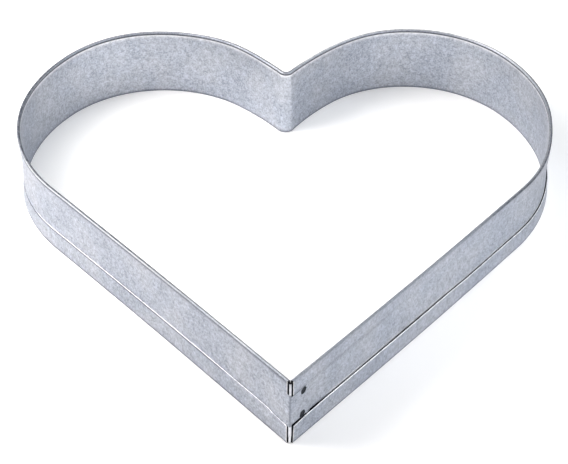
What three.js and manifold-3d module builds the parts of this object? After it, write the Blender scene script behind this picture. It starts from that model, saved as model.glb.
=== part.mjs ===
// Heart cake ring of tinned steel: a tall, bottomless frame for baking or setting a heart-shaped cake.
// One strip with both long edges folded outwards is bent to a heart. Its two ends meet at the point,
// where a bent strap slides under the folds of both legs and two spot welds hold it to the right leg.
// Millimetres, +Z up, +Y from the point towards the two lobes.
import * as THREE from 'three';
import { mergeVertices } from 'three/addons/utils/BufferGeometryUtils.js';
import Module from 'manifold-3d';

const wasm = await Module();
wasm.setup();

// Inside outline of the heart, right half
const insideLength = 248.2; // from the point to the tops of the lobes
const pointHalfAngle = 40.75; // degrees, each leg against the middle line
const shoulderTurn = 77.7; // degrees, the wide bend between leg and lobe
const lobeRadius = 58.4;
const flankRadius = 128.6; // the slack bend from the lobe down into the cleft
const flankTurn = 12.9; // degrees
const cleftHalfAngle = 35.6; // degrees, each flank against the middle line
const cleftBendRadius = 2.3; // tightest layer of the strip in the cleft

// Strip
const ringHeight = 35;
const sheetThickness = 0.45;
const lowerHemWidth = 9.5; // folded edge that the ring stands on, from its crest to its free edge
const upperHemWidth = 7.7;
const foldBendRadius = 0.15; // inside the two bends of each fold, with a flat crest between them
const endGap = 0.15; // between the two ends of the strip, inside the point

// Strap and welds
const strapThickness = 0.4;
const strapReach = 11.5; // along each leg, from the point
const slipClearance = 0.1; // strap to wall and strap to hem
const strapEdgeClearance = 0.1; // strap's long edges to the rounding inside the folds
const weldDiameter = 3.2;
const weldClearance = 0.3; // round each weld, in the holes through wall and strap
const weldMiddle = 18.1; // height halfway between the two welds
const weldSpacing = 12.5; // upright, between the two welds
const weldSetback = 4.6; // from the strap's end to the welds
const weldSink = 0.1; // electrode mark at each end of a weld

// Facets of the rounded stretches
const heartFacetTurn = 5; // degrees
const tightFacetTurn = 9; // degrees, in the cleft and at the strap's bend
const foldFacets = 3; // in each quarter of a fold
const weldSides = 24;

// Sizes that follow
const hemGap = strapThickness + 2 * slipClearance;
const foldThickness = 2 * sheetThickness + hemGap;
const foldRadius = foldBendRadius + sheetThickness;
const cleftRadius = cleftBendRadius + foldThickness;
const strapInside = sheetThickness + slipClearance;
const strapOutside = strapInside + strapThickness;
const strapEdge = foldRadius + strapEdgeClearance;
const legHeading = Math.PI / 2 - THREE.MathUtils.degToRad(pointHalfAngle);
const weldHeights = {
  upper_spot_weld: weldMiddle + weldSpacing / 2,
  lower_spot_weld: weldMiddle - weldSpacing / 2,
};
const betweenSheets = sheetThickness + slipClearance / 2;

// A station is a place on the inside outline and the heading of the strip there.
// The strip runs anticlockwise, so its outer side lies to the right of the heading.
function station(x, y, heading) {
  return { x, y, heading };
}

function outward(heading) {
  return new THREE.Vector2(Math.sin(heading), -Math.cos(heading));
}

// A place on the right leg, at a distance from the point
function onLeg(distance) {
  return station(distance * Math.cos(legHeading), distance * Math.sin(legHeading), legHeading);
}

function onCircle(centre, radius, heading) {
  const rim = outward(heading).multiplyScalar(radius).add(centre);
  return station(rim.x, rim.y, heading);
}

// Stations along a circular bend, without the one it starts on. A negative radius bends to the right.
function bend(centre, radius, fromHeading, toHeading, facetTurn) {
  const turn = toHeading - fromHeading;
  const facets = Math.ceil(Math.abs(turn) / THREE.MathUtils.degToRad(facetTurn));
  const stations = [];
  for (let i = 1; i <= facets; i += 1) {
    stations.push(onCircle(centre, radius, fromHeading + (turn * i) / facets));
  }
  return stations;
}

function mirrored(stations) {
  return stations.map(({ x, y, heading }) => station(-x, y, -heading)).reverse();
}

// Right half of the heart, from the point at the origin to the middle of the cleft
function heartHalf() {
  const shoulderHeading = legHeading + THREE.MathUtils.degToRad(shoulderTurn);
  const straightDown = 1.5 * Math.PI;
  const cleftHeading = straightDown - THREE.MathUtils.degToRad(cleftHalfAngle);
  const flankHeading = cleftHeading - THREE.MathUtils.degToRad(flankTurn);

  // The flank runs smoothly from the lobe into the cleft bend, whose centre is on the middle line.
  const lobeX = (flankRadius - lobeRadius) * Math.sin(flankHeading)
    - (flankRadius + cleftRadius) * Math.sin(cleftHeading);
  const lobe = new THREE.Vector2(lobeX, insideLength - lobeRadius);
  const flank = outward(flankHeading).multiplyScalar(lobeRadius - flankRadius).add(lobe);
  const cleft = outward(cleftHeading).multiplyScalar(flankRadius + cleftRadius).add(flank);

  // The shoulder touches the leg, and touches the lobe where its turn ends.
  const lobeDepth = -outward(legHeading).dot(lobe);
  const turnCosine = Math.cos(shoulderHeading - legHeading);
  const shoulderRadius = (lobeDepth - lobeRadius * turnCosine) / (1 - turnCosine);
  const shoulder = outward(shoulderHeading).multiplyScalar(lobeRadius - shoulderRadius).add(lobe);

  return [
    onLeg(endGap / (2 * Math.cos(legHeading))),
    onCircle(shoulder, shoulderRadius, legHeading),
    ...bend(shoulder, shoulderRadius, legHeading, shoulderHeading, heartFacetTurn),
    ...bend(lobe, lobeRadius, shoulderHeading, flankHeading, heartFacetTurn),
    ...bend(flank, flankRadius, flankHeading, cleftHeading, heartFacetTurn),
    ...bend(cleft, -cleftRadius, cleftHeading, Math.PI, tightFacetTurn),
  ];
}

// A quarter of a fold in the strip's section, from one angle to another about its centre
function foldQuarter(centreOut, centreUp, radius, fromAngle, toAngle) {
  const points = [];
  for (let i = 0; i <= foldFacets; i += 1) {
    const angle = THREE.MathUtils.degToRad(fromAngle + ((toAngle - fromAngle) * i) / foldFacets);
    points.push(new THREE.Vector2(centreOut + radius * Math.cos(angle), centreUp + radius * Math.sin(angle)));
  }
  return points;
}

// Section of the strip, anticlockwise, x outwards from the inside face and y upwards:
// a wall with a fold at each edge that turns down or up outside it and leaves room for the strap
function stripSection() {
  const near = foldRadius;
  const far = foldThickness - foldRadius;
  const low = foldRadius;
  const high = ringHeight - foldRadius;
  const hemInside = foldThickness - sheetThickness;
  return [
    ...foldQuarter(near, low, foldRadius, 180, 270),
    ...foldQuarter(far, low, foldRadius, 270, 360),
    new THREE.Vector2(foldThickness, lowerHemWidth),
    new THREE.Vector2(hemInside, lowerHemWidth),
    ...foldQuarter(far, low, foldBendRadius, 360, 270),
    ...foldQuarter(near, low, foldBendRadius, 270, 180),
    ...foldQuarter(near, high, foldBendRadius, 180, 90),
    ...foldQuarter(far, high, foldBendRadius, 90, 0),
    new THREE.Vector2(hemInside, ringHeight - upperHemWidth),
    new THREE.Vector2(foldThickness, ringHeight - upperHemWidth),
    ...foldQuarter(far, high, foldRadius, 0, 90),
    ...foldQuarter(near, high, foldRadius, 90, 180),
  ];
}

function strapSection() {
  return [
    new THREE.Vector2(strapInside, strapEdge),
    new THREE.Vector2(strapOutside, strapEdge),
    new THREE.Vector2(strapOutside, ringHeight - strapEdge),
    new THREE.Vector2(strapInside, ringHeight - strapEdge),
  ];
}

// Carries an anticlockwise section along the stations and closes both ends.
function sweep(section, stations) {
  const positions = [];
  const indices = [];
  for (const { x, y, heading } of stations) {
    const out = outward(heading);
    for (const point of section) {
      positions.push(x + out.x * point.x, y + out.y * point.x, point.y);
    }
  }
  const count = section.length;
  for (let row = 0; row < stations.length - 1; row += 1) {
    for (let i = 0; i < count; i += 1) {
      const here = row * count + i;
      const beside = row * count + ((i + 1) % count);
      indices.push(here, here + count, beside + count);
      indices.push(here, beside + count, beside);
    }
  }
  const lastRow = (stations.length - 1) * count;
  for (const [a, b, c] of THREE.ShapeUtils.triangulateShape(section, [])) {
    indices.push(a, b, c);
    indices.push(lastRow + a, lastRow + c, lastRow + b);
  }
  const geometry = new THREE.BufferGeometry();
  geometry.setAttribute('position', new THREE.Float32BufferAttribute(positions, 3));
  geometry.setIndex(indices);
  return geometry;
}

function toSolid(geometry) {
  const bare = geometry.clone();
  bare.deleteAttribute('normal');
  bare.deleteAttribute('uv');
  const merged = mergeVertices(bare);
  return new wasm.Manifold(new wasm.Mesh({
    numProp: 3,
    vertProperties: new Float32Array(merged.attributes.position.array),
    triVerts: new Uint32Array(merged.index.array),
  }));
}

function toGeometry(solid) {
  const mesh = solid.getMesh();
  const geometry = new THREE.BufferGeometry();
  geometry.setAttribute('position', new THREE.Float32BufferAttribute(mesh.vertProperties, 3));
  geometry.setIndex(Array.from(mesh.triVerts));
  geometry.computeVertexNormals();
  return geometry;
}

// A round bar square to the right leg, between two distances outwards from its inside face
function weldBar(radius, fromOut, toOut, height) {
  const bar = new THREE.Mesh(new THREE.CylinderGeometry(radius, radius, toOut - fromOut, weldSides));
  const { x, y } = onLeg(strapReach - weldSetback);
  const out = outward(legHeading).multiplyScalar((fromOut + toOut) / 2);
  bar.position.set(x + out.x, y + out.y, height);
  bar.rotation.z = legHeading;
  bar.updateMatrix();
  return bar;
}

function cutWeldHoles(geometry, fromOut, toOut) {
  const radius = weldDiameter / 2 + weldClearance;
  let solid = toSolid(geometry);
  for (const height of Object.values(weldHeights)) {
    const bar = weldBar(radius, fromOut, toOut, height);
    solid = solid.subtract(toSolid(bar.geometry.applyMatrix4(bar.matrix)));
  }
  return toGeometry(solid);
}

function tinplate(color, roughness) {
  return new THREE.MeshStandardMaterial({ color, roughness, metalness: 0.9 });
}

// Strip: open at the point, with its wall pierced for the welds
const rightHalf = heartHalf();
const stripPath = [...rightHalf, ...mirrored(rightHalf).slice(1)];
const stripBody = cutWeldHoles(sweep(stripSection(), stripPath), -sheetThickness, betweenSheets);
const strip = new THREE.Mesh(stripBody, tinplate(0xb9bdc9, 0.42));
strip.name = 'heart_strip';

// Strap: turns about the inside of the point and lies between wall and hem on each leg
const point = new THREE.Vector2(0, 0);
const strapPath = [
  ...mirrored([onLeg(0), onLeg(strapReach)]),
  ...bend(point, 0, -legHeading, legHeading, tightFacetTurn),
  onLeg(strapReach),
];
const strapCutEnd = strapOutside + strapThickness;
const strapBody = cutWeldHoles(sweep(strapSection(), strapPath), betweenSheets, strapCutEnd);
const strap = new THREE.Mesh(strapBody, tinplate(0xb3b7c4, 0.45));
strap.name = 'corner_strap';

// Welds: one nugget through wall and strap at each height, sunk at both ends
const welds = Object.entries(weldHeights).map(([name, height]) => {
  const weld = weldBar(weldDiameter / 2, weldSink, strapOutside - weldSink, height);
  weld.material = tinplate(0x4c4e58, 0.6);
  weld.name = name;
  return weld;
});

// The ring stands on its lower folds, with the middle of its box over the origin.
const ring = new THREE.Group();
ring.add(strip, strap, ...welds);
ring.position.y = -new THREE.Box3().setFromObject(ring).getCenter(new THREE.Vector3()).y;

export default ring;
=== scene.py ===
# Heart cake ring of tinned steel, dressed over its CAD frame: the hemmed strip, the strap that closes it at
# the point and the two spot welds, each worked out as a numpy surface, on a white studio table.
import math

import bpy
import numpy as np
from mathutils import Matrix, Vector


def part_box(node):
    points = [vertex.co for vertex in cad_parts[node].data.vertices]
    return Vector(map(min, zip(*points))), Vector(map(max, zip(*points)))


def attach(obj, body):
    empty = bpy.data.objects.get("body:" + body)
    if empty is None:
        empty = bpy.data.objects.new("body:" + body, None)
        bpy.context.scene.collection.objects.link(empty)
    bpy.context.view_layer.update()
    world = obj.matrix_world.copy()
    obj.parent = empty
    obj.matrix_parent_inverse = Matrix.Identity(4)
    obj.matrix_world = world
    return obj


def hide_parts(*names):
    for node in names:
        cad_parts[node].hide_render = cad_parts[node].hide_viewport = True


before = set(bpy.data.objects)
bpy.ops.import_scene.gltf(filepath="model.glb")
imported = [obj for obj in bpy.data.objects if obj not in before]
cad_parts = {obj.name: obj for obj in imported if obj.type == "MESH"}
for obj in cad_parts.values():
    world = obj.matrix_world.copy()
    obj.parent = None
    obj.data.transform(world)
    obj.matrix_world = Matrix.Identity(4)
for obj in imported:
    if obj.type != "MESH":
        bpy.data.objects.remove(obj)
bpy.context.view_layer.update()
mm = 0.001  # shapes are worked out in millimetres and put into the mesh in metres
fineCount = 20001  # points of a line that is summed up step by step
crowdCount = 8001  # points of a density that is summed up

# The CAD part's own driving sizes, millimetres and degrees
heart = {
    "insideLength": 248.2,
    "pointHalfAngle": 40.75,
    "shoulderTurn": 77.7,
    "lobeRadius": 58.4,
    "flankRadius": 128.6,
    "flankTurn": 12.9,
    "cleftHalfAngle": 35.6,
    "cleftBendRadius": 2.3,
    "height": 35.0,
    "sheet": 0.45,
    "lowerHem": 9.5,
    "upperHem": 7.7,
    "foldBendRadius": 0.15,
    "endGap": 0.15,
    "strapReach": 11.5,  # along each leg, from the inside of the point
    "strapSlip": 0.1,  # from the strap to the wall and to the hems
    "strapThickness": 0.40,
}
hemGap = heart["strapThickness"] + 2 * heart["strapSlip"]
foldThickness = 2 * heart["sheet"] + hemGap
strapInside = heart["sheet"] + heart["strapSlip"]
strapOutside = strapInside + heart["strapThickness"]
legHeading = math.radians(90 - heart["pointHalfAngle"])
pointPlace = (0.0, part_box("corner_strap")[0].y / mm + strapOutside)  # inside of the point


# Soft step from 0 to 1 between two places: 3 t squared less 2 t cubed, with t the share of the way
def easeStep(values, start, end):
    share = np.clip((values - start) / (end - start), 0.0, 1.0)
    return share * share * (3 - 2 * share)


# Bump of height 1 about a place: e to the minus of distance over half width, squared,
# or to the power of 4 for a flat top
def bump(values, place, half, power=2):
    return np.exp(-(((values - place) / half) ** power))


# Places that crowd together here and there: the density is 1 plus a flat bump for each crowd,
# given as place, half width and extra, and its running sum is cut into even steps.
def crowdedPlaces(start, end, count, crowds):
    fine = np.linspace(start, end, crowdCount)
    density = 1 + sum(extra * bump(fine, place, half, 4) for place, half, extra in crowds)
    runningSum = np.concatenate([[0.0], np.cumsum((density[1:] + density[:-1]) / 2)])
    return np.interp(np.linspace(0.0, runningSum[-1], count), runningSum, fine)


# A line through knots: between two knots its heading turns evenly with the distance gone,
# and its place is the running sum of its headings.
def traceLine(start, firstHeading, lengths, turns, distances):
    knots = np.concatenate([[0.0], np.cumsum(lengths)])
    headings = firstHeading + np.concatenate([[0.0], np.cumsum(turns)])
    fine = np.union1d(np.linspace(0.0, knots[-1], fineCount), knots)
    heading = np.interp(fine, knots, headings)
    step = np.diff(fine)
    middle = (heading[1:] + heading[:-1]) / 2
    alongX = start[0] + np.concatenate([[0.0], np.cumsum(np.cos(middle) * step)])
    alongY = start[1] + np.concatenate([[0.0], np.cumsum(np.sin(middle) * step)])
    places = np.stack([np.interp(distances, fine, alongX), np.interp(distances, fine, alongY)], axis=-1)
    return places, np.interp(distances, fine, heading)


# Lengths and turns of the inside outline, from the right end at the point round to the left end:
# leg, shoulder, lobe, flank, cleft, and the same again in mirror order.
def heartBends():
    shoulderHeading = legHeading + math.radians(heart["shoulderTurn"])
    cleftHeading = math.radians(270 - heart["cleftHalfAngle"])
    flankHeading = cleftHeading - math.radians(heart["flankTurn"])
    lobeR, flankR = heart["lobeRadius"], heart["flankRadius"]
    cleftR = heart["cleftBendRadius"] + foldThickness
    lobeX = (flankR - lobeR) * math.sin(flankHeading) - (flankR + cleftR) * math.sin(cleftHeading)
    lobeY = heart["insideLength"] - lobeR
    lobeDepth = lobeY * math.cos(legHeading) - lobeX * math.sin(legHeading)
    turnCosine = math.cos(shoulderHeading - legHeading)
    shoulderR = (lobeDepth - lobeR * turnCosine) / (1 - turnCosine)
    shoulderX = lobeX + math.sin(shoulderHeading) * (lobeR - shoulderR)
    shoulderY = lobeY - math.cos(shoulderHeading) * (lobeR - shoulderR)
    leg = shoulderX * math.cos(legHeading) + shoulderY * math.sin(legHeading)
    turns = np.array([
        0.0,
        shoulderHeading - legHeading,
        flankHeading - shoulderHeading,
        cleftHeading - flankHeading,
        math.pi - cleftHeading,
    ])
    lengths = np.abs(np.array([0.0, shoulderR, lobeR, flankR, cleftR]) * turns)
    lengths[0] = leg
    return np.concatenate([lengths, lengths[::-1]]), np.concatenate([turns, turns[::-1]])


# Puts a grid of points and its faces into a mesh object, with one float attribute for each mark.
# Edges bent by more than the sharp angle, in degrees, stay sharp.
def addPiece(name, points, faces, marks, sharpAngle, cornerUv=None):
    mesh = bpy.data.meshes.new(name)
    mesh.from_pydata((points.reshape(-1, 3) * mm).tolist(), [], faces)
    if cornerUv is not None:
        layer = mesh.uv_layers.new(name="sheet")
        layer.data.foreach_set("uv", (cornerUv * mm).ravel())
    for markName, values in marks.items():
        mark = mesh.attributes.new(markName, "FLOAT", "POINT")
        values = np.broadcast_to(values, points.shape[:2]).astype(np.float32)
        mark.data.foreach_set("value", values.ravel())
    mesh.validate()
    mesh.shade_smooth()
    mesh.set_sharp_from_angle(angle=math.radians(sharpAngle))
    piece = bpy.data.objects.new(name, mesh)
    bpy.context.collection.objects.link(piece)
    return piece


# A grid of rings: rings along the first axis, each ring closed along the second.
# Every ring folds about its middle, so the first and last are closed by rungs between its two sides.
def ringMesh(name, rings, uv, marks, sharpAngle):
    ringCount, ringSize = rings.shape[:2]
    corner = np.arange(ringCount * ringSize).reshape(ringCount, ringSize)
    beside = np.roll(corner, -1, axis=1)
    walls = np.stack([corner[:-1], beside[:-1], beside[1:], corner[1:]], axis=-1).reshape(-1, 4)
    half = np.arange(ringSize // 2 - 1)
    rungs = np.stack([half, ringSize - 1 - half, ringSize - 2 - half, half + 1], axis=-1)
    faces = np.concatenate([walls, corner[0][rungs], corner[-1][rungs[:, ::-1]]])
    cornerUv = uv.reshape(-1, 2)[faces.ravel()]
    return addPiece(name, rings, faces.tolist(), marks, sharpAngle, cornerUv)


# The hemmed strip, as this one ring came out of the folding and the bending by hand. Its hems are squeezed
# shut on the left, open along the right lower hem, and held apart by the strap close to the point.
# Distances run along the strip from its right end at the point, in millimetres.
strip = {
    "stations": 470,
    "endCrowds": ((15.0, 3.0), (1.2, 8.0)),  # distance from an end, and how much closer stations lie
    "cleftCrowd": (6.0, 6.0),
    "edgeRows": (1.2, 2.0),  # the wall has finer rows this far to each side of the hems' free edges
    "rimRows": 2.6,  # and this far down from the upper fold
    "edgePoints": 4,
    "edgeRound": 0.18,  # sheared edges are rounded this deep
    "sharpAngle": 38,
    # lean of the hems' free edges towards the wall
    "leftFrom": (0.40, 0.60),  # shares of the length over which the right half passes into the left one
    "leftLean": 0.57,
    "leftShuts": (heart["strapReach"] - 2.5, heart["strapReach"] + 1.5),  # from the left end
    "rightLowLean": 0.16,
    "rightLowShuts": (heart["strapReach"] + 3.0, heart["strapReach"] + 9.0),
    "rightHighLean": 0.42,
    "rightHighShuts": (heart["strapReach"], heart["strapReach"] + 6.0),
    "strapLean": 0.08,  # where the hems are squeezed onto the strap
    "pointFlare": 0.30,  # the right lower hem stands off at the point, the other hem ends less
    "endFlare": 0.06,
    "flareReach": 3.0,
    # extra width of the lower hem by the distance, and the stretch over which the upper one gets narrower
    "lowHemExtra": {
        0: 0.1, 9: 0.4, 104: 0.4, 118: -0.2, 165: -0.2, 185: -1.0, 205: -1.0, 235: -0.2,
        612: -0.2, 640: 0.8, 790: 0.8, 802: 0.2,
    },
    "highNarrower": 0.7,
    "highNarrows": (54.0, 66.0),
    "lowEndCut": 0.25,  # the hems' ends at the point are cut back this far
    "highEndCut": 0.12,
    "endCutReach": 3.0,
    # the bends of the wall
    "wander": [-0.75, 0.45, 0.25, -0.5, 0.0, 0.9, 0.0, -0.25],  # outwards, sine by sine
    # lean of the upper rim: half width and how far outwards, by the distance
    "rimLean": {207: (22, -1.0), 362: (16, -0.9), 401: (12, 0.8), 432: (26, 1.5), 497: (30, 1.05)},
    "bulgeDepth": 0.10,  # in and out between the folds, as a long wave and a short one that swells and fades
    "bulgeMargin": 1.0,
    "bulgeClear": (18.0, 30.0),  # the bulge grows over this stretch from both ends
    "longWave": {"length": 19.0, "phase": 0.7},
    "shortWave": {"length": 8.3, "phase": 2.1, "swell": 47.0, "share": 0.7},
    # stretches as shares of the length: they fade in over the first two and out over the last two,
    # or run to the left end where those are past 1
    "stretches": {
        "lobes": (0.14, 0.24, 0.74, 0.84),
        "rightLobe": (0.31, 0.37, 0.48, 0.495),
        "left": (0.62, 0.76, 1.1, 1.2),
        "farLeft": (0.64, 0.72, 0.86, 0.96),
        "leftRim": (0.74, 0.80, 0.88, 0.95),
        "leftPoint": (0.86, 0.94, 1.1, 1.2),
        "pastRightPoint": (0.13, 0.20, 1.1, 1.2),
    },
    "spots": {"leftFlank": (0.535, 0.03), "hemGape": (0.765, 0.02)},  # short stretches: middle and half width
    "rightPointShade": 0.55,  # strength of the painted shade lines on the right rim beside the point, 1 further on
    "leftHemShade": 0.9,  # strength of the painted shade lines on the left upper hem, and beside the point
    "leftPointShade": 0.5,
    "leftEdgeFrom": (36.0, 48.0),  # from the left end
    # lines of painted highlight, with a little polish on the crests, and lines of painted shade: stretch, run
    # of the section, distance past its start, half width, strength
    "polishAndHighlightLines": [
        ("all", "lowCrest", 0.15, 0.25, 0.08),
        ("all", "highCrest", 0.15, 0.25, 0.08),
        ("rightLobe", "highCrest", 0.30, 0.45, 0.95),
        ("lobes", "highFoldIn", -1.20, 0.32, 1.0),
        ("lobes", "highFoldIn", -1.90, 0.50, 0.25),
        ("leftRim", "highFoldOut", 0.36, 0.28, 0.40),
    ],
    # painted shade: dark lines along the folds, rims and hem edges
    "paintedShadeLines": [
        ("rightRim", "highHem", -0.10, 0.26, 0.60),
        ("rightRim", "highHem", 0.70, 0.80, 0.15),
        ("leftHem", "highHem", 0.36, 0.40, 1.0),
        ("leftHem", "highHem", 0.90, 0.80, 0.18),
        ("leftPoint", "highHem", -0.20, 0.32, 0.45),
        ("rightCrest", "highCrest", 0.15, 0.30, 0.50),
        ("rightCrest", "highFoldOut", 0.22, 0.25, 0.75),
        ("all", "lowFoldOut", -0.15, 0.30, 0.85),
        ("all", "lowWall", 0.15, 0.30, 0.85),
        ("lobes", "highFoldIn", -0.52, 0.30, 1.7),
        ("lobes", "highFoldIn", 0.10, 0.30, 0.25),
        ("left", "highCrest", -0.08, 0.20, 0.95),
        ("farLeft", "highCrest", 0.10, 0.36, 1.5),
        ("leftFlank", "highCrest", 0.15, 0.40, 0.40),
        ("leftFlank", "highFoldOut", 0.25, 0.25, 0.90),
        ("leftEdge", "lowHem", 0.16, 0.32, 1.3),
        ("hemGape", "lowHem", 0.0, 0.50, 1.3),
    ],
    # a painted highlight on the wall just over the right lower hem
    "overHemHighlight": {"strength": 0.6, "from": (20.0, 26.0), "above": 0.75, "half": 0.45},
    "faceDepth": 0.1,  # points this near the hems' outer faces count as on them
    "endShine": (0.25, 0.5),  # painted highlight on the hems' cut ends, this far along
    "leftHighlightDrop": 0.35,  # the painted highlight on the left lower edge is weaker near the point
    "hemShade": {"strength": 0.30, "half": 1.05, "wallDrop": 0.77, "fades": (56.0, 78.0)},  # painted shade under the upper hem
    "pocket": {  # painted shade behind the right lower hem, up to its free edge and a little over it near the point
        "rise": 0.12,
        "nearRise": 0.75,
        "nearFades": (16.0, 20.0),
        "farRise": 0.2,
        "farFrom": (96.0, 120.0),
        "fades": (-0.38, -0.15),
    },
}


# Section of the strip as the middle line of the sheet: down the lower hem, round the lower fold, up the wall,
# round the upper fold and down the upper hem. In each run the rows lie closer at its ends, by a cosine.
def stripSection():
    sheet = heart["sheet"]
    bendR = heart["foldBendRadius"] + sheet / 2
    quarter = bendR * math.pi / 2
    land = hemGap - 2 * heart["foldBendRadius"]
    lowHem = heart["lowerHem"] - sheet / 2 - bendR
    highHem = heart["upperHem"] - sheet / 2 - bendR
    wall = heart["height"] - sheet - 2 * bendR
    low, high = strip["edgeRows"]
    rim = strip["rimRows"]
    runs = {  # length, quarter turns and rows
        "lowHem": (lowHem, 0, 14),
        "lowFoldOut": (quarter, -1, 6),
        "lowCrest": (land, 0, 4),
        "lowFoldIn": (quarter, -1, 6),
        "lowWall": (lowHem - low, 0, 4),
        "lowEdgeWall": (2 * low, 0, 8),
        "midWall": (wall - lowHem - highHem - low - high, 0, 6),
        "highEdgeWall": (2 * high, 0, 8),
        "highWall": (highHem - high - rim, 0, 3),
        "rimWall": (rim, 0, 9),
        "highFoldIn": (quarter, -1, 6),
        "highCrest": (land, 0, 4),
        "highFoldOut": (quarter, -1, 6),
        "highHem": (highHem, 0, 10),
    }
    lengths, turns, rowCounts = (np.array(values) for values in zip(*runs.values()))
    ends = np.concatenate([[0.0], np.cumsum(lengths)])
    rows = [a + (b - a) * (1 - np.cos(np.pi * np.arange(n) / n)) / 2
            for a, b, n in zip(ends[:-1], ends[1:], rowCounts)]
    across = np.append(np.concatenate(rows), ends[-1])
    start = (foldThickness - sheet / 2, heart["lowerHem"])
    middle, heading = traceLine(start, -math.pi / 2, lengths, turns * math.pi / 2, across)
    return middle, heading, across, dict(zip(runs, ends))


# Closed loop round the sheet: the two faces lie half a sheet to each side of the middle line, and half an
# ellipse rounds off each sheared edge. A hem's share grows from 0 at its fold to 1 at its free edge,
# the wall's share is the square of a sine from fold to fold.
def stripLoop():
    middle, heading, across, runStarts = stripSection()
    halfSheet = heart["sheet"] / 2
    side = np.stack([-np.sin(heading), np.cos(heading)], axis=-1) * halfSheet
    angle = np.linspace(0, math.pi, strip["edgePoints"] + 2)[1:-1]
    roundOff = np.stack([np.cos(angle) * halfSheet, np.sin(angle) * strip["edgeRound"]], axis=-1)

    # once round: the face that shows, the last sheared edge, the hidden face and the first edge
    def wrap(shown, hidden, firstEdge, lastEdge):
        half = len(firstEdge) // 2
        return np.concatenate([firstEdge[half:], shown, lastEdge, hidden[::-1], firstEdge[:half]])

    firstEdge = middle[0] + roundOff * (-1, 1)
    lastEdge = middle[-1] + roundOff * (1, -1)
    out, up = wrap(middle + side, middle - side, firstEdge, lastEdge).T
    face, edge = np.zeros_like(across), np.zeros_like(angle)
    foldTop = heart["foldBendRadius"] + heart["sheet"]
    inHem = out > foldThickness / 2
    isLow = up < heart["height"] / 2
    lowShare = (up - foldTop) / (heart["lowerHem"] - foldTop)
    highShare = (heart["height"] - foldTop - up) / (heart["upperHem"] - foldTop)
    wallShare = (up - strip["bulgeMargin"]) / (heart["height"] - 2 * strip["bulgeMargin"])
    return {
        "out": out,
        "up": up,
        "inHem": inHem,
        "isLow": isLow,
        "lowShare": np.clip(lowShare, 0, 1) * (inHem & isLow),
        "highShare": np.clip(highShare, 0, 1) * (inHem & ~isLow),
        "wallShare": np.sin(np.clip(wallShare, 0, 1) * math.pi) ** 2 * ~inHem,
        "runStarts": runStarts,
        "across": wrap(across, across, edge, edge + across[-1]),
        "shown": wrap(face + 1, face, edge, edge),
        "hidden": wrap(face, face + 1, edge, edge),
        "firstEdge": wrap(face, face, edge + 1, edge),
        "lastEdge": wrap(face, face, edge, edge + 1),
    }


# Bends by the distance along the strip, as columns: soft steps for the hems' leans, a line through points
# for the lower hem's width, a sum of bumps for the rim's lean, a sum of sines for the wander and two waves
# for the bulge.
def stripBends(along, total):
    share = along / total
    fromLeft = total - along
    onStrap = strip["strapLean"]
    toLeft = easeStep(share, *strip["leftFrom"])
    leftLean = onStrap + (strip["leftLean"] - onStrap) * easeStep(fromLeft, *strip["leftShuts"])
    lowLean = strip["rightLowLean"] * easeStep(along, *strip["rightLowShuts"])
    highLean = onStrap + (strip["rightHighLean"] - onStrap) * easeStep(along, *strip["rightHighShuts"])
    endFlare = strip["endFlare"] * (1 - easeStep(np.minimum(along, fromLeft), 0, strip["flareReach"]))
    moreFlare = (strip["pointFlare"] - strip["endFlare"]) * (1 - easeStep(along, 0, heart["strapReach"]))
    sineCount = np.arange(1, len(strip["wander"]) + 1)[:, None]
    long, short = strip["longWave"], strip["shortWave"]
    longWave = np.sin(along / long["length"] + long["phase"])
    shortWave = np.sin(along / short["length"] + short["phase"]) * np.sin(along / short["swell"])
    clear = easeStep(along, *strip["bulgeClear"]) * easeStep(fromLeft, *strip["bulgeClear"])
    bends = {
        "along": along,
        "fromLeft": fromLeft,
        "share": share,
        "onRight": 1 - toLeft,
        "lowLean": lowLean * (1 - toLeft) + leftLean * toLeft - endFlare - moreFlare,
        "highLean": highLean * (1 - toLeft) + leftLean * toLeft - endFlare,
        "lowExtra": np.interp(along, *zip(*strip["lowHemExtra"].items())),
        "highExtra": strip["highNarrower"] * easeStep(along, *strip["highNarrows"]),
        "endCut": bump(along, 0, strip["endCutReach"]) - bump(fromLeft, 0, strip["endCutReach"]),
        "wander": np.array(strip["wander"]) @ np.sin(np.pi * sineCount * share),
        "rimLean": sum(lean * bump(along, at, half) for at, (half, lean) in strip["rimLean"].items()),
        "bulge": strip["bulgeDepth"] * clear * (longWave + short["share"] * shortWave),
    }
    return {name: values[:, None] for name, values in bends.items()}
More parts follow.
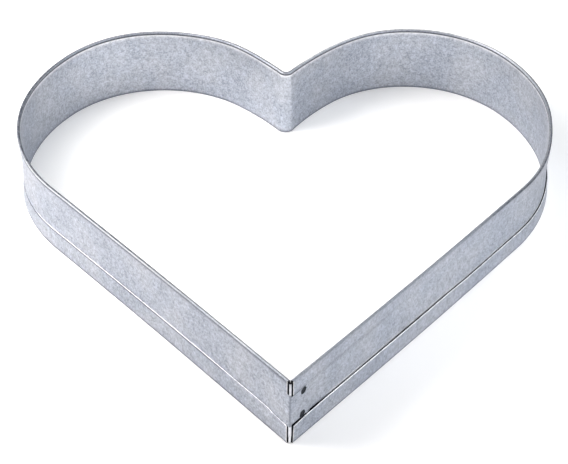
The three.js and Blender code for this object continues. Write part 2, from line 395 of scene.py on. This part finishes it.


# Marks at every point, as bumps across the section times stretches along it: painted highlight along the
# folds and over the right lower hem, with a little polish on the crests; painted shade as dark lines along
# folds, rims and hem edges;
# painted highlight on the sheared edges and the hems' cut ends; and painted shade in the cut ends, under the
# upper hem and in the open pocket behind the right lower hem.
def stripPolishAndPaintedLight(loop, bends):
    out, up, along = loop["out"], loop["up"], bends["along"]
    on = {"all": np.ones_like(along)}
    for name, (start, full, fade, end) in strip["stretches"].items():
        on[name] = easeStep(bends["share"], start, full) * (1 - easeStep(bends["share"], fade, end))
    for name, (middle, half) in strip["spots"].items():
        on[name] = bump(bends["share"], middle, half, 4)
    rightRimShade = strip["rightPointShade"] + (1 - strip["rightPointShade"]) * on["pastRightPoint"]
    leftHemShade = strip["leftHemShade"] + (strip["leftPointShade"] - strip["leftHemShade"]) * on["leftPoint"]
    on["rightRim"] = (1 - on["left"]) * rightRimShade
    on["rightCrest"] = on["rightRim"] * (1 - on["rightLobe"])
    on["leftHem"] = on["left"] * leftHemShade
    on["leftEdge"] = on["left"] * easeStep(bends["fromLeft"], *strip["leftEdgeFrom"])

    def lines(table):
        worn = 0.0
        for stretch, run, past, half, strength in table:
            line = loop["shown"] * bump(loop["across"], loop["runStarts"][run] + past, half)
            worn = worn + strength * on[stretch] * line
        return worn

    # painted highlight: a bright line on the wall just over the right lower hem
    overHemHighlight = strip["overHemHighlight"]
    overHem = up - heart["lowerHem"] - bends["lowExtra"]
    outerWall = loop["hidden"] * ~loop["inHem"]
    overHemHighlightLine = outerWall * bump(overHem, overHemHighlight["above"], overHemHighlight["half"])
    overHemHighlightAlong = overHemHighlight["strength"] * bends["onRight"] * easeStep(along, *overHemHighlight["from"])
    # painted highlight lines with a little polish on the crests, plus the painted highlight over the right
    # lower hem
    rub = lines(strip["polishAndHighlightLines"]) + overHemHighlightAlong * overHemHighlightLine
    # painted shade as dark lines along the folds, rims and hem edges
    bend = np.clip(lines(strip["paintedShadeLines"]), 0, 1)

    # painted highlight on the sheared edges and along the hems' cut ends
    hemFace = out > foldThickness - strip["faceDepth"]
    fromEnd = np.minimum(along, bends["fromLeft"])
    cutEnds = (1 - easeStep(fromEnd, *strip["endShine"])) * hemFace
    edgeShine = (1 - strip["leftHighlightDrop"] * (on["left"] - on["leftEdge"])) * (1 - on["hemGape"])
    cut = np.maximum(np.maximum(loop["lastEdge"], cutEnds), edgeShine * loop["firstEdge"])

    # painted shade: the strip's end faces go black, the hems' faces excepted
    endFaces = np.zeros_like(along)
    endFaces[[0, -1]] = 1
    # painted shade: a soft dark band along the upper hem's lower edge, fading out along the right leg
    hemShade = strip["hemShade"]
    hemShadeUp = heart["height"] - heart["upperHem"] + bends["highExtra"] - hemShade["wallDrop"] * ~loop["inHem"]
    highUp = up + bends["highExtra"] * loop["highShare"]
    hemShadeLine = bump(highUp, hemShadeUp, hemShade["half"]) * (out > heart["sheet"] / 2)
    hemShadeAlong = hemShade["strength"] * (1 - easeStep(along, *hemShade["fades"]))
    # painted shade in the open pocket behind the right lower hem
    pocket = strip["pocket"]
    nearRise = pocket["nearRise"] * (1 - easeStep(along, *pocket["nearFades"]))
    farRise = pocket["farRise"] * easeStep(along, *pocket["farFrom"])
    overPocket = overHem - pocket["rise"] - nearRise - farRise
    inPocket = loop["hidden"] * (1 - easeStep(overPocket, *pocket["fades"]))
    grime = np.maximum(endFaces * ~hemFace, hemShadeAlong * hemShadeLine)
    grime = np.maximum(grime, bends["onRight"] * inPocket)
    return {"rub": rub, "bend": bend, "cut": cut, "grime": grime}


# The ring's surface: station by station along the heart, the loop is set square to the path. Outwards it
# shifts by the wander, the leans and the bulge, along the path by the cut of the hems' ends, and upwards by
# the hems' widths.
def makeStrip():
    lengths, turns = heartBends()
    total = lengths.sum()
    crowds = [(end, *crowd) for end in (0.0, total) for crowd in strip["endCrowds"]]
    crowds = crowds + [(total / 2, *strip["cleftCrowd"])]
    along = crowdedPlaces(0.0, total, strip["stations"], crowds)
    endTrim = heart["endGap"] / (2 * math.cos(legHeading))
    along = np.clip(along, endTrim, total - endTrim)
    places, heading = traceLine(pointPlace, legHeading, lengths, turns, along)
    forward = np.stack([np.cos(heading), np.sin(heading)], axis=-1)
    outward = np.stack([np.sin(heading), -np.cos(heading)], axis=-1)

    loop, bends = stripLoop(), stripBends(along, total)
    outAll = loop["out"] - bends["lowLean"] * loop["lowShare"] - bends["highLean"] * loop["highShare"]
    outAll = outAll + bends["bulge"] * loop["wallShare"]
    outAll = outAll + bends["wander"] + bends["rimLean"] * loop["up"] / heart["height"]
    cutBack = np.where(loop["isLow"], strip["lowEndCut"], strip["highEndCut"])
    cutBack = cutBack * np.clip((loop["out"] - heart["sheet"]) / hemGap, 0, 1)
    forwardAll = bends["endCut"] * cutBack
    upAll = loop["up"] + bends["lowExtra"] * loop["lowShare"] + bends["highExtra"] * loop["highShare"]
    xy = places[:, None, :] + outward[:, None, :] * outAll[:, :, None]
    xy = xy + forward[:, None, :] * forwardAll[:, :, None]
    rings = np.concatenate([xy, upAll[:, :, None]], axis=-1)
    uv = np.stack(np.broadcast_arrays(along[:, None], loop["across"]), axis=-1)
    return ringMesh("hemmed_strip", rings, uv, stripPolishAndPaintedLight(loop, bends), strip["sharpAngle"])


stripPiece = makeStrip()
print("strip:", len(stripPiece.data.polygons), "faces")


# The strap at the point: a bent plate under the hems of both legs, pressed thin at its two ends
strap = {
    "columns": 170,
    "rows": 120,
    "bendCrowd": (1.2, 5.0),  # how near the bend the columns crowd, and how much closer they lie
    "weldCrowd": (3.0, 2.0),
    "sharpAngle": 38,
    "lowEdge": 0.7,
    "topEdge": 34.3,
    "endThickness": 0.10,
    "endTaper": 2.5,
    "welds": {"upper_spot_weld": (7.2, 24.55), "lower_spot_weld": (6.6, 11.9)},  # from the point, height
    "dimpleRadius": 2.1,
    "dimpleDepth": 0.14,
    "heatRadius": 1.5,  # dark ring round each weld
    "heatHalf": 0.75,
    "bendShadeHalf": 0.55,
    "hemEdge": 0.2,  # the painted shade at the bend ends and the core begins over this far to each side of the hems' edges
    # painted highlight on the core of the bend in the gaps between the hems' ends: half its width, wider
    # higher up in the lower gap
    "lowCore": 0.5,
    "lowCoreExtra": 0.22,
    "lowCoreWidens": (3.0, 4.5),
    "highCore": 0.46,
    "coreShine": 0.55,
    "coreFade": 0.1,
    # painted shade beside the core, from this far inside the hems' edges, or outside them where it is
    # negative
    "leftGapShade": 0.4,
    "leftPointGapShade": -0.1,
    "leftPointReach": 1.5,
    "rightGapShade": -0.50,
    "rightPointGapShade": -1.30,
    "rightPointReach": (9.5, 11.0),
    "gapShadeBegins": 0.12,
    "gapShadeFade": 0.3,
    "topShade": (33.2, 33.7),  # heights between which painted shade darkens the strap under the upper fold
}


# Plate over a grid of distance and height: the inner face follows both legs about the inside of the point,
# the outer face stands the thickness off it, less two round dimples: 1 less the distance squared, squared.
def makeStrap():
    reach = heart["strapReach"]
    turn = 2 * legHeading  # round the bend, the distance is the angle turned
    weldPlace = turn + np.mean([fromPoint for fromPoint, weldHeight in strap["welds"].values()])
    crowds = [(turn / 2, *strap["bendCrowd"]), (weldPlace, *strap["weldCrowd"])]
    along = crowdedPlaces(-reach, reach + turn, strap["columns"], crowds)
    heading = np.clip(along, 0, turn) - legHeading
    leg = np.where(along < 0, along, np.where(along > turn, along - turn, 0.0))
    direction = np.stack([np.cos(heading), np.sin(heading)], axis=-1)
    outward = np.stack([np.sin(heading), -np.cos(heading)], axis=-1)
    places = np.array(pointPlace) + direction * leg[:, None]

    height = np.linspace(strap["lowEdge"], strap["topEdge"], strap["rows"])
    fromEnd = np.minimum(along + reach, reach + turn - along)
    taper = easeStep(fromEnd, 0, strap["endTaper"])
    thick = strap["endThickness"] + (heart["strapThickness"] - strap["endThickness"]) * taper
    outer = strapInside + np.repeat(thick[:, None], len(height), axis=1)
    heat = np.zeros_like(outer)
    for fromPoint, weldHeight in strap["welds"].values():
        apart = np.hypot((along - turn - fromPoint)[:, None], height - weldHeight)
        outer = outer - strap["dimpleDepth"] * np.clip(1 - (apart / strap["dimpleRadius"]) ** 2, 0, 1) ** 2
        heat = heat + bump(apart, strap["heatRadius"], strap["heatHalf"])
    outAll = np.concatenate([np.full_like(outer, strapInside), outer[:, ::-1]], axis=1)
    heatAll = np.concatenate([np.zeros_like(heat), heat[:, ::-1]], axis=1)
    up = np.concatenate([height, height[::-1]])
    xy = places[:, None, :] + outward[:, None, :] * outAll[:, :, None]
    rings = np.concatenate([xy, np.broadcast_to(up, outAll.shape)[:, :, None]], axis=-1)
    uv = np.stack(np.broadcast_arrays(along[:, None], up), axis=-1)

    intoHem = np.maximum(heart["lowerHem"] - up, up - heart["height"] + heart["upperHem"])
    underHem = easeStep(intoHem, -strap["hemEdge"], strap["hemEdge"])
    fromBend = np.abs(along - turn / 2)[:, None]
    # painted shade: a darker band down the strap's bend
    crease = bump(fromBend, 0, strap["bendShadeHalf"]) * (1 - underHem)
    nearPoint = 1 - easeStep(fromBend, *strap["rightPointReach"])
    rightGapShade = strap["rightGapShade"] + (strap["rightPointGapShade"] - strap["rightGapShade"]) * nearPoint
    leftGapShade = np.where(fromBend < strap["leftPointReach"], strap["leftPointGapShade"], strap["leftGapShade"])
    gapShadeFrom = np.where((along > turn / 2)[:, None], rightGapShade, leftGapShade)
    lowCore = strap["lowCore"] + strap["lowCoreExtra"] * easeStep(up, *strap["lowCoreWidens"])
    fromCore = fromBend - np.where(up < heart["height"] / 2, lowCore, strap["highCore"])
    besideCore = easeStep(fromCore, 0.0, strap["gapShadeBegins"])
    # painted shade in the slots beside the core, and under the upper fold
    grime = besideCore * easeStep(intoHem - gapShadeFrom, 0.0, strap["gapShadeFade"])
    grime = np.maximum(grime, easeStep(up, *strap["topShade"]))
    # painted highlight on the rounded core of the bend, seen between the hems' ends
    shine = strap["coreShine"] * (1 - easeStep(fromCore, -strap["coreFade"], 0.0)) * underHem
    marks = {"crease": crease, "heat": heatAll, "grime": grime, "rub": shine}
    return ringMesh("point_strap", rings, uv, marks, strap["sharpAngle"])


strapPiece = makeStrap()
print("strap:", len(strapPiece.data.polygons), "faces")


# A spot weld: a burnt, dished mark with a squeezed-up rim on both sides of the sheets
weld = {
    "radius": 1.75,
    "rings": [0.02, 0.2, 0.4, 0.6, 0.75, 0.86, 0.93, 0.98, 1.0],  # shares of the radius
    "sides": 48,
    "dish": 0.09,
    "rimHeight": 0.05,
    "rimPlace": 0.9,  # shares of the radius
    "rimHalf": 0.08,
    "edgeDrop": 0.12,  # the outermost ring dips this far into the sheet
    "backOut": 0.01,  # the middle of the inner face stands this far off the wall
    "waves": ((2, 0.06, 1.0), (5, 0.04, 1.3)),  # of the uneven edge: count, depth, turn by the height
    "sharpAngle": 50,
    # from the middle to the edge
    "colours": [
        (0.0, (0.03, 0.034, 0.045)),
        (0.60, (0.013, 0.015, 0.02)),
        (0.95, (0.026, 0.03, 0.038)),
        (1.0, (0.16, 0.17, 0.19)),
    ],
    "soot": {"Scale": 1400.0, "Detail": 3.0, "Roughness": 0.7},
    "sootRange": (0.3, 0.7),
    "roughness": (0.5, 0.75),
    "ragged": 0.5,  # how far the soot shifts the colours
    "metal": 0.9,
    "bump": {"Strength": 0.3, "Distance": 0.0002},
}


# Turned shape: a closed profile of radius and distance outwards goes once round the weld's own axis.
# Both faces are dished with the square of the radius and rise to a low rim.
def makeWeld(name, fromPoint, weldHeight):
    share = np.array(weld["rings"])
    rim = weld["rimHeight"] * bump(share, weld["rimPlace"], weld["rimHalf"])
    face = rim - weld["dish"] * (1 - share ** 2)
    face[-1] = -weld["edgeDrop"]
    outs = np.concatenate([strapOutside + face, -(face[::-1] + weld["dish"] + weld["backOut"])])
    shares = np.concatenate([share, share[::-1]])
    angle = np.linspace(0, 2 * math.pi, weld["sides"], endpoint=False)
    waves = [depth * np.sin(count * angle + turn * weldHeight) for count, depth, turn in weld["waves"]]
    uneven = 1 + sum(waves)
    direction = np.array([math.cos(legHeading), math.sin(legHeading)])
    outward = np.array([math.sin(legHeading), -math.cos(legHeading)])
    radii = weld["radius"] * shares * uneven[:, None]
    alongLeg = fromPoint + radii * np.cos(angle)[:, None]
    up = weldHeight + radii * np.sin(angle)[:, None]
    xy = np.array(pointPlace) + direction * alongLeg[:, :, None] + outward * outs[:, None]
    rings = np.concatenate([xy, up[:, :, None]], axis=-1)
    corner = np.arange(up.size).reshape(up.shape)
    beyond = np.roll(corner, -1, axis=0)
    walls = np.stack([corner[:, :-1], corner[:, 1:], beyond[:, 1:], beyond[:, :-1]], axis=-1).reshape(-1, 4)
    faces = walls.tolist() + [corner[:, 0].tolist(), corner[::-1, -1].tolist()]
    return addPiece(name, rings, faces, {"fromCentre": shares}, weld["sharpAngle"])


weldPieces = {}
for node, (fromPoint, weldHeight) in strap["welds"].items():
    weldPieces[node] = makeWeld(node.replace("spot_weld", "weld_mark"), fromPoint, weldHeight)
print("welds:", len(weldPieces))


# A material with its Principled shader and a short way to add and join nodes:
# an input is called by its name, or by _ and its number
def newMaterial(name):
    material = bpy.data.materials.new(name)
    material.use_nodes = True
    nodes, links = material.node_tree.nodes, material.node_tree.links

    def add(kind, settings=None, **inputs):
        node = nodes.new(kind)
        for key, value in (settings or {}).items():
            setattr(node, key, value)
        for key, value in inputs.items():
            socket = node.inputs[int(key[1:])] if key[0] == "_" else node.inputs[key.replace("_", " ")]
            if isinstance(value, bpy.types.NodeSocket):
                links.new(value, socket)
            else:
                socket.default_value = value
        return node

    return material, nodes["Principled BSDF"], add, links


# Colours or grey levels by a number, evenly blended from stop to stop
def ramp(add, source, stops):
    node = add("ShaderNodeValToRGB", Fac=source)
    elements = node.color_ramp.elements
    while len(elements) < len(stops):
        elements.new(0.5)  # moved to its own place below
    for element, (place, colour) in zip(elements, stops):
        element.position = place
        element.color = (*colour, 1.0) if isinstance(colour, tuple) else (colour, colour, colour, 1.0)
    return node.outputs["Color"]


# First colour, blended with the second by the factor
def mixColour(add, blend, factor, first, second):
    node = add("ShaderNodeMix", {"data_type": "RGBA", "blend_type": blend}, _0=factor, _6=first, _7=second)
    return node.outputs[2]


# First number plus the factor's share of the way to the second
def mixNumber(add, factor, first, second):
    return add("ShaderNodeMix", {"data_type": "FLOAT"}, _0=factor, _2=first, _3=second).outputs[0]


# One step of arithmetic on two numbers
def mathNode(add, operation, first, second):
    return add("ShaderNodeMath", {"operation": operation}, _0=first, _1=second).outputs[0]


# A number carried evenly from one range to another
def carryOver(add, source, fromRange, toRange, clamp=True):
    node = add("ShaderNodeMapRange", {"clamp": clamp}, Value=source)
    for socket, value in zip(("From Min", "From Max", "To Min", "To Max"), (*fromRange, *toRange)):
        node.inputs[socket].default_value = value
    return node.outputs[0]


# Matte tinplate: cloudy tin that turns from bluish to warm grey, with a bright and dark grain and pin-prick
# specks. Each mark on a piece then lays its own colour over it, in the order of the list: painted shade and
# highlights, and the welds' heat tint.
tin = {
    "light": (0.565, 0.595, 0.67),
    "dark": (0.295, 0.312, 0.355),
    "range": (0.30, 0.70),
    "roughness": (0.38, 0.56),  # of light tin and of dark tin
    "grazing": (0.76, 0.76, 0.77),  # the matte tin stays dull when it is seen from the side
    "hues": ((0.965, 0.98, 0.99), (0.99, 0.985, 0.965)),
    "hueRange": (0.40, 0.60),
    "layers": {"cloud": (42, 0.22), "blotch": (420, 0.42), "grain": (1150, 0.72)},  # scale and weight
    "noise": {"Detail": 2.0, "Roughness": 0.6},
    "bump": {"Strength": 0.10, "Distance": 0.0003},
    "speckScale": 70,
    "speckSize": (0.016, 0.026),
    "specks": [  # colour, and the cells' own numbers from where to where they get one
        ((0.10, 0.10, 0.12), [(0.60, 0.0), (0.64, 1.0)]),
        ((0.85, 0.86, 0.88), [(0.26, 1.0), (0.30, 0.0)]),
    ],
    "gapRange": (0.35, 0.60),  # broken marks thin out where the blotches are below this
    "marks": {  # colour, strength, roughness, metal, and how much is left in the gaps of a broken mark
        # painted shade: a darker band down the strap's bend
        "crease": ((0.16, 0.175, 0.21), 0.75, 0.5, 1.0, 1.0),
        "heat": ((0.14, 0.15, 0.17), 0.70, 0.5, 1.0, 1.0),
        # painted highlight, with a little real polish on the strip's crests
        "rub": ((0.94, 0.94, 0.95), 1.0, 0.45, 0.6, 0.6),
        # painted shade: dark lines along the folds, rims and hem edges
        "bend": ((0.042, 0.047, 0.062), 0.94, 0.75, 0.1, 0.7),
        # painted highlight on the sheared edges and the hems' cut ends
        "cut": ((0.93, 0.93, 0.94), 0.95, 0.55, 0.7, 0.45),
        # painted shade: near black in the slots, end faces, under the upper hem and behind the right lower
        # hem
        "grime": ((0.006, 0.006, 0.008), 0.98, 0.9, 0.0, 1.0),
    },
}


# Three layers of noise swing about a half, each by its own weight, and give colour, roughness and bump.
# Specks sit at the middles of cells, and each mark covers by its attribute times its strength, thinned out
# in the gaps.
def tinMaterial(name, marks):
    material, shader, add, links = newMaterial(name)
    place = add("ShaderNodeTexCoord").outputs["Object"]
    noises = {}
    mottle = 0.5
    for layer, (scale, weight) in tin["layers"].items():
        noises[layer] = add("ShaderNodeTexNoise", Vector=place, Scale=scale, **tin["noise"]).outputs[0]
        swing = carryOver(add, noises[layer], (0.0, 1.0), (-weight / 2, weight / 2), clamp=False)
        mottle = mathNode(add, "ADD", swing, mottle)
    low, high = tin["range"]
    colour = ramp(add, mottle, [(low, tin["dark"]), (high, tin["light"])])
    hue = ramp(add, noises["cloud"], list(zip(tin["hueRange"], tin["hues"])))
    colour = mixColour(add, "MULTIPLY", 1.0, colour, hue)
    roughness = carryOver(add, mottle, tin["range"], tin["roughness"][::-1])
    metal = 1.0

    cells = add("ShaderNodeTexVoronoi", Vector=place, Scale=tin["speckScale"])
    near = ramp(add, cells.outputs["Distance"], list(zip(tin["speckSize"], (1.0, 0.0))))
    for speckColour, chosen in tin["specks"]:
        speck = mathNode(add, "MULTIPLY", near, ramp(add, cells.outputs["Color"], chosen))
        colour = mixColour(add, "MIX", speck, colour, (*speckColour, 1.0))

    for markName, (markColour, strength, markRoughness, markMetal, left) in tin["marks"].items():
        if markName not in marks:
            continue
        cover = add("ShaderNodeAttribute", {"attribute_name": markName}).outputs["Fac"]
        cover = mathNode(add, "MULTIPLY", cover, strength)
        if left < 1:
            gaps = ramp(add, noises["blotch"], list(zip(tin["gapRange"], (left, 1.0))))
            cover = mathNode(add, "MULTIPLY", cover, gaps)
        colour = mixColour(add, "MIX", cover, colour, (*markColour, 1.0))
        roughness = mixNumber(add, cover, roughness, markRoughness)
        metal = mixNumber(add, cover, metal, markMetal)
    relief = add("ShaderNodeBump", Height=mottle, **tin["bump"])
    links.new(colour, shader.inputs["Base Color"])
    links.new(roughness, shader.inputs["Roughness"])
    links.new(metal, shader.inputs["Metallic"])
    links.new(relief.outputs[0], shader.inputs["Normal"])
    shader.inputs["Specular IOR Level"].default_value = 0.0  # the black painted shade and the dark painted lines don't shine
    shader.inputs["Specular Tint"].default_value = (*tin["grazing"], 1.0)
    return material


# Burnt weld: dark rings by the distance from the centre, made ragged by the soot's noise about a half
def weldMaterial():
    material, shader, add, links = newMaterial("burnt weld")
    place = add("ShaderNodeTexCoord").outputs["Object"]
    fromCentre = add("ShaderNodeAttribute", {"attribute_name": "fromCentre"}).outputs["Fac"]
    soot = add("ShaderNodeTexNoise", Vector=place, **weld["soot"]).outputs[0]
    shift = mathNode(add, "MULTIPLY", mathNode(add, "SUBTRACT", soot, 0.5), weld["ragged"])
    colour = ramp(add, mathNode(add, "ADD", fromCentre, shift), weld["colours"])
    relief = add("ShaderNodeBump", Height=soot, **weld["bump"])
    links.new(colour, shader.inputs["Base Color"])
    links.new(carryOver(add, soot, weld["sootRange"], weld["roughness"]), shader.inputs["Roughness"])
    links.new(relief.outputs[0], shader.inputs["Normal"])
    shader.inputs["Metallic"].default_value = weld["metal"]
    return material


stripPiece.data.materials.append(tinMaterial("tinplate", ("rub", "bend", "cut", "grime")))
strapPiece.data.materials.append(tinMaterial("strap tinplate", ("crease", "heat", "rub", "grime")))
burnt = weldMaterial()
for piece in weldPieces.values():
    piece.data.materials.append(burnt)
print("materials:", len(bpy.data.materials))

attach(stripPiece, "root")
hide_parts("heart_strip")
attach(strapPiece, "root")
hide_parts("corner_strap")
for node, piece in weldPieces.items():
    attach(piece, "root")
    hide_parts(node)

# Studio: a white table in a dim room. Four soft lamps stand at the left, the strongest one warm and the
# widest one cool, and two at the right, a low one in front and a cool one behind. All of them face the
# middle of the ring.
studio = {
    "tableSize": 6.0,
    "tableDrop": 0.00002,  # keeps the table clear of the ring's resting face
    "tableColour": (0.86, 0.86, 0.865, 1.0),
    "tableRoughness": 0.9,
    "tableWhite": 0.24,  # plain white added to what the camera and the metal see of the table
    "roomColour": (0.03, 0.03, 0.033, 1.0),
    "lampTop": (0.0, 0.1, 1.0),  # direction that the lamps' upper edges lean to
    "lamps": {  # place, size, watts, tint
        "left lamp": ((-0.45, 0.05, 0.30), 0.40, 2.55, (1.0, 0.93, 0.84)),
        "wide left lamp": ((-0.60, -0.10, 0.45), 0.50, 0.95, (0.86, 0.89, 1.0)),
        "high left lamp": ((-0.25, 0.15, 0.35), 0.35, 1.45, (1.0, 1.0, 0.97)),
        "near left lamp": ((-0.35, 0.0, 0.30), 0.35, 0.65, (1.0, 0.96, 0.99)),
        "near right lamp": ((0.30, -0.20, 0.15), 0.26, 1.15, (1.0, 0.995, 0.99)),
        "back right lamp": ((0.35, 0.20, 0.40), 0.40, 1.12, (0.91, 0.955, 1.0)),
    },
}


# Stands a lamp or a camera at a place, its axes given as the columns of its matrix
def standAt(name, data, right, top, back, place):
    holder = bpy.data.objects.new(name, data)
    turn = np.eye(4)
    turn[:3, :4] = np.stack([right, top, back, place], axis=1)
    holder.matrix_world = Matrix(turn.tolist())
    bpy.context.collection.objects.link(holder)
    return holder


# The table is its plain shader plus white where a ray comes from the camera, a shiny face or through glass.
# A lamp's back axis points from the origin to its place, and its right axis is square to that and to the
# top direction.
def makeStudio():
    half = studio["tableSize"] / 2
    mesh = bpy.data.meshes.new("table")
    corners = [(-half, -half, 0), (half, -half, 0), (half, half, 0), (-half, half, 0)]
    mesh.from_pydata(corners, [], [(0, 1, 2, 3)])
    table = bpy.data.objects.new("table", mesh)
    bpy.context.collection.objects.link(table)
    table.location.z = -studio["tableDrop"]
    material, shader, add, links = newMaterial("white table")
    shader.inputs["Base Color"].default_value = studio["tableColour"]
    shader.inputs["Roughness"].default_value = studio["tableRoughness"]
    path = add("ShaderNodeLightPath").outputs
    seen = mathNode(add, "MAXIMUM", path["Is Camera Ray"], path["Is Glossy Ray"])
    seen = mathNode(add, "MAXIMUM", seen, path["Is Transmission Ray"])
    white = add("ShaderNodeEmission", Strength=mathNode(add, "MULTIPLY", seen, studio["tableWhite"]))
    both = add("ShaderNodeAddShader", _0=shader.outputs[0], _1=white.outputs[0])
    links.new(both.outputs[0], material.node_tree.nodes["Material Output"].inputs[0])
    mesh.materials.append(material)

    world = bpy.data.worlds.new("room")
    world.use_nodes = True
    world.node_tree.nodes["Background"].inputs["Color"].default_value = studio["roomColour"]
    bpy.context.scene.world = world

    for name, (place, size, watts, tint) in studio["lamps"].items():
        lamp = bpy.data.lights.new(name, "AREA")
        lamp.size = size
        lamp.energy = watts
        lamp.color = tint
        back = np.array(place) / np.linalg.norm(place)
        right = np.cross(studio["lampTop"], back)
        right = right / np.linalg.norm(right)
        holder = standAt(name, lamp, right, np.cross(back, right), back, place)
        holder.visible_camera = False


makeStudio()
print("studio:", len(studio["lamps"]), "lamps")

# Camera at the photograph's own angle: above the front, looking at the heart from its point
view = {
    "elevation": 39.717,
    "azimuth": -0.718,
    "roll": 0.510,
    "distance": 757.9,
    "aim": (-1.611, -13.164, 17.5),
    "focalPixels": 1698.7,
    "imageWidth": 568,
    "sensorWidth": 36.0,
    "clipStart": 0.01,
}


# The camera stands the distance back from its aim, along the direction of its elevation and azimuth,
# and its right and top axes are turned about that direction by the roll.
def makeCamera():
    elevation, azimuth, roll = (math.radians(view[key]) for key in ("elevation", "azimuth", "roll"))
    level = math.cos(elevation)
    back = np.array([math.sin(azimuth) * level, -math.cos(azimuth) * level, math.sin(elevation)])
    right = np.array([math.cos(azimuth), math.sin(azimuth), 0.0])
    top = np.cross(back, right)
    rolledRight = math.cos(roll) * right + math.sin(roll) * top
    rolledTop = -math.sin(roll) * right + math.cos(roll) * top
    place = (np.array(view["aim"]) + view["distance"] * back) * mm
    lens = bpy.data.cameras.new("camera")
    lens.sensor_fit = "HORIZONTAL"
    lens.sensor_width = view["sensorWidth"]
    lens.lens = view["focalPixels"] / view["imageWidth"] * view["sensorWidth"]
    lens.clip_start = view["clipStart"]
    bpy.context.scene.camera = standAt("camera", lens, rolledRight, rolledTop, back, place)


makeCamera()
bpy.context.scene.view_settings.view_transform = "Standard"
